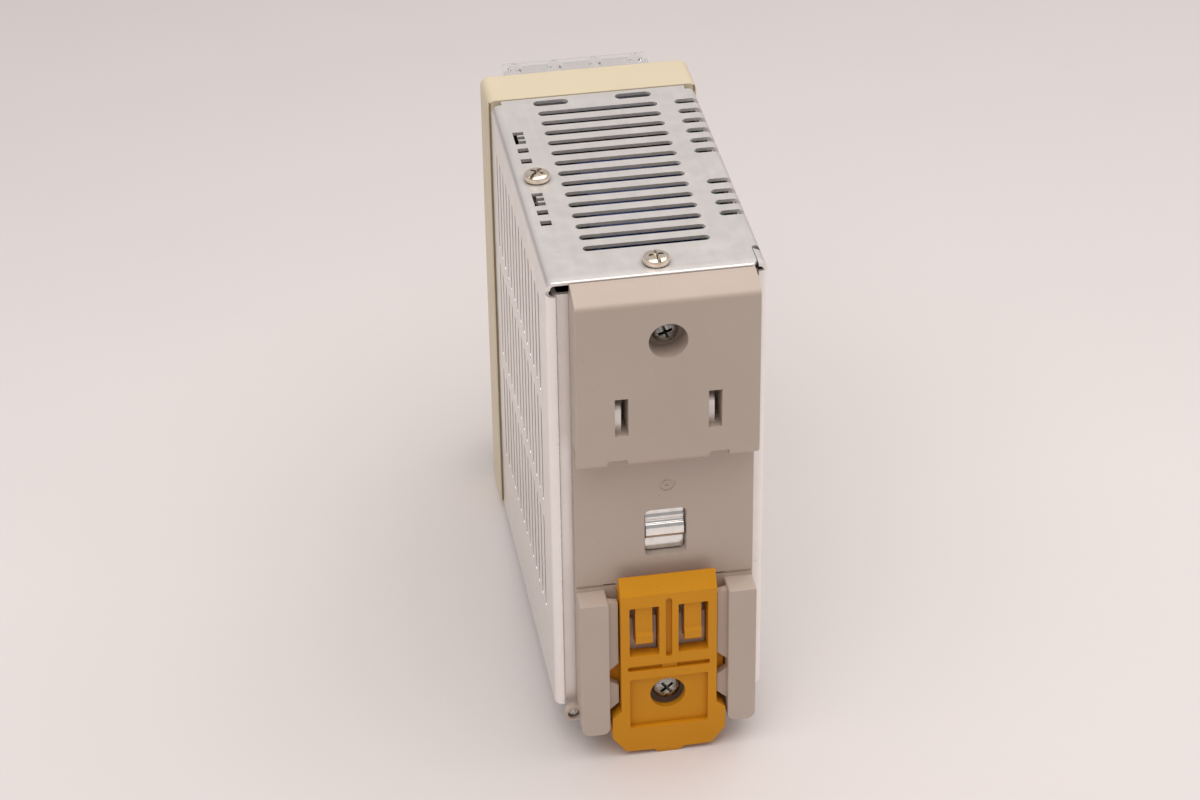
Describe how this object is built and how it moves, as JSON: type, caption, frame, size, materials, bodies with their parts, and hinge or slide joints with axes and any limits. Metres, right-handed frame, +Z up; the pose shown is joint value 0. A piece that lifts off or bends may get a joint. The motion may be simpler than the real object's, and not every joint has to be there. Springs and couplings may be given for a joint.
{
  "type": "din rail power supply",
  "caption": "Slim ventilated metal power supply with a plastic front bezel, covered screw terminals and a rear rail mount with a sliding rail stopper.",
  "frame": {"origin": "under the middle of the overall box, level with the foot of the rail stopper", "axes": "+Z up as mounted on the rail, -Y towards the terminals at the front, +Y towards the rail, +X to the left as seen from the back"},
  "size_m": [0.05, 0.1212, 0.127],
  "materials": {
    "zinc_sheet": "zinc-plated sheet, satin",
    "cream_plastic": "fine matt moulding",
    "mount_plastic": "fine matt moulding",
    "yellow_plastic": "matt moulding",
    "spring_steel": "bright strip",
    "clear_plastic": "clear moulding",
    "black_plastic": "matt moulding",
    "nickel": "nickel plated",
    "steel": "zinc-plated screw",
    "brass": "plain",
    "board": "solder mask",
    "ferrite": "ground ceramic",
    "tape": "winding tape",
    "blue_sleeve": "shrink sleeve",
    "black_sleeve": "shrink sleeve",
    "aluminium": "plain",
    "copper_wire": "lacquered copper winding",
    "yellow_box": "plain",
    "glass_tube": "clear",
    "green_lens": "tinted",
    "red_lens": "tinted",
    "fibre_sheet": "fibre sheet"
  },
  "bodies": {
    "case": {"case_cover": "zinc_sheet", "chassis": "zinc_sheet", "front_bezel": "cream_plastic", "rail_mount": "mount_plastic", "rail_spring": "spring_steel", "case_screw_side": "nickel", "case_screw_rear": "nickel", "mount_screw_upper": "steel", "mount_screw_lower": "steel", "lug_pin": "steel", "output_block": "black_plastic", "input_block": "black_plastic", "trimmer_body": "blue_sleeve", "power_lens": "green_lens", "alarm_lens": "red_lens", "indicator_board": "board", "main_board": "board", "insulating_sheet": "fibre_sheet", "transformer_core": "ferrite", "transformer_winding": "tape", "bulk_capacitor": "black_sleeve", "output_capacitor_1": "blue_sleeve", "output_capacitor_2": "blue_sleeve", "output_capacitor_3": "blue_sleeve", "filter_choke": "copper_wire", "output_choke": "copper_wire", "filter_capacitor": "yellow_box", "fuse": "glass_tube", "inrush_thermistor": "black_sleeve", "primary_heat_sink": "aluminium", "secondary_heat_sink": "aluminium", "switch_transistor": "black_plastic", "bridge_rectifier": "black_plastic", "output_rectifier": "black_plastic", "output_1_contact": "brass", "output_2_contact": "brass", "output_3_contact": "brass", "output_4_contact": "brass", "input_1_contact": "brass", "input_2_contact": "brass", "input_3_contact": "brass"},
    "rail_stopper": {"rail_stopper": "yellow_plastic"},
    "output_cover": {"output_cover": "clear_plastic"},
    "input_cover": {"input_cover": "clear_plastic"},
    "trimmer_knob": {"trimmer_knob": "cream_plastic"},
    "output_1_clamp": {"output_1_clamp": "nickel"},
    "output_1_screw": {"output_1_screw": "nickel"},
    "output_2_clamp": {"output_2_clamp": "nickel"},
    "output_2_screw": {"output_2_screw": "nickel"},
    "output_3_clamp": {"output_3_clamp": "nickel"},
    "output_3_screw": {"output_3_screw": "nickel"},
    "output_4_clamp": {"output_4_clamp": "nickel"},
    "output_4_screw": {"output_4_screw": "nickel"},
    "input_1_clamp": {"input_1_clamp": "nickel"},
    "input_1_screw": {"input_1_screw": "nickel"},
    "input_2_clamp": {"input_2_clamp": "nickel"},
    "input_2_screw": {"input_2_screw": "nickel"},
    "input_3_clamp": {"input_3_clamp": "nickel"},
    "input_3_screw": {"input_3_screw": "nickel"}
  },
  "joints": [
    {"name": "rail_stopper_slide", "type": "slide", "parent": "case", "child": "rail_stopper", "axis": [0, 0, 1], "range_m": [-0.01, 0]},
    {"name": "output_cover_hinge", "type": "hinge", "parent": "case", "child": "output_cover", "pos_m": [0, -0.0462, 0.1191], "axis": [-1, 0, 0], "range_deg": [0, 90]},
    {"name": "input_cover_hinge", "type": "hinge", "parent": "case", "child": "input_cover", "pos_m": [0, -0.0462, 0.017], "axis": [1, 0, 0], "range_deg": [0, 90]},
    {"name": "trimmer_turn", "type": "hinge", "parent": "case", "child": "trimmer_knob", "pos_m": [-0.011, -0.054, 0.084], "axis": [0, -1, 0], "range_deg": [-135, 135]},
    {"name": "output_1_clamp_lift", "type": "slide", "parent": "case", "child": "output_1_clamp", "axis": [0, -1, 0], "range_m": [0, 0.003]},
    {"name": "output_1_screw_turn", "type": "hinge", "parent": "output_1_clamp", "child": "output_1_screw", "pos_m": [-0.0147, -0.053, 0.1065], "axis": [0, -1, 0], "range_deg": [0, 1810]},
    {"name": "output_2_clamp_lift", "type": "slide", "parent": "case", "child": "output_2_clamp", "axis": [0, -1, 0], "range_m": [0, 0.003]},
    {"name": "output_2_screw_turn", "type": "hinge", "parent": "output_2_clamp", "child": "output_2_screw", "pos_m": [-0.0049, -0.053, 0.1065], "axis": [0, -1, 0], "range_deg": [0, 1810]},
    {"name": "output_3_clamp_lift", "type": "slide", "parent": "case", "child": "output_3_clamp", "axis": [0, -1, 0], "range_m": [0, 0.003]},
    {"name": "output_3_screw_turn", "type": "hinge", "parent": "output_3_clamp", "child": "output_3_screw", "pos_m": [0.0049, -0.053, 0.1065], "axis": [0, -1, 0], "range_deg": [0, 1810]},
    {"name": "output_4_clamp_lift", "type": "slide", "parent": "case", "child": "output_4_clamp", "axis": [0, -1, 0], "range_m": [0, 0.003]},
    {"name": "output_4_screw_turn", "type": "hinge", "parent": "output_4_clamp", "child": "output_4_screw", "pos_m": [0.0147, -0.053, 0.1065], "axis": [0, -1, 0], "range_deg": [0, 1810]},
    {"name": "input_1_clamp_lift", "type": "slide", "parent": "case", "child": "input_1_clamp", "axis": [0, -1, 0], "range_m": [0, 0.003]},
    {"name": "input_1_screw_turn", "type": "hinge", "parent": "input_1_clamp", "child": "input_1_screw", "pos_m": [-0.0098, -0.053, 0.0296], "axis": [0, -1, 0], "range_deg": [0, 1810]},
    {"name": "input_2_clamp_lift", "type": "slide", "parent": "case", "child": "input_2_clamp", "axis": [0, -1, 0], "range_m": [0, 0.003]},
    {"name": "input_2_screw_turn", "type": "hinge", "parent": "input_2_clamp", "child": "input_2_screw", "pos_m": [0, -0.053, 0.0296], "axis": [0, -1, 0], "range_deg": [0, 1810]},
    {"name": "input_3_clamp_lift", "type": "slide", "parent": "case", "child": "input_3_clamp", "axis": [0, -1, 0], "range_m": [0, 0.003]},
    {"name": "input_3_screw_turn", "type": "hinge", "parent": "input_3_clamp", "child": "input_3_screw", "pos_m": [0.0098, -0.053, 0.0296], "axis": [0, -1, 0], "range_deg": [0, 1810]}
  ],
  "couplings": [
    {"joint": "output_1_screw_turn", "follows": "output_1_clamp_lift", "rad_per_m": 10472},
    {"joint": "output_2_screw_turn", "follows": "output_2_clamp_lift", "rad_per_m": 10472},
    {"joint": "output_3_screw_turn", "follows": "output_3_clamp_lift", "rad_per_m": 10472},
    {"joint": "output_4_screw_turn", "follows": "output_4_clamp_lift", "rad_per_m": 10472},
    {"joint": "input_1_screw_turn", "follows": "input_1_clamp_lift", "rad_per_m": 10472},
    {"joint": "input_2_screw_turn", "follows": "input_2_clamp_lift", "rad_per_m": 10472},
    {"joint": "input_3_screw_turn", "follows": "input_3_clamp_lift", "rad_per_m": 10472}
  ]
}
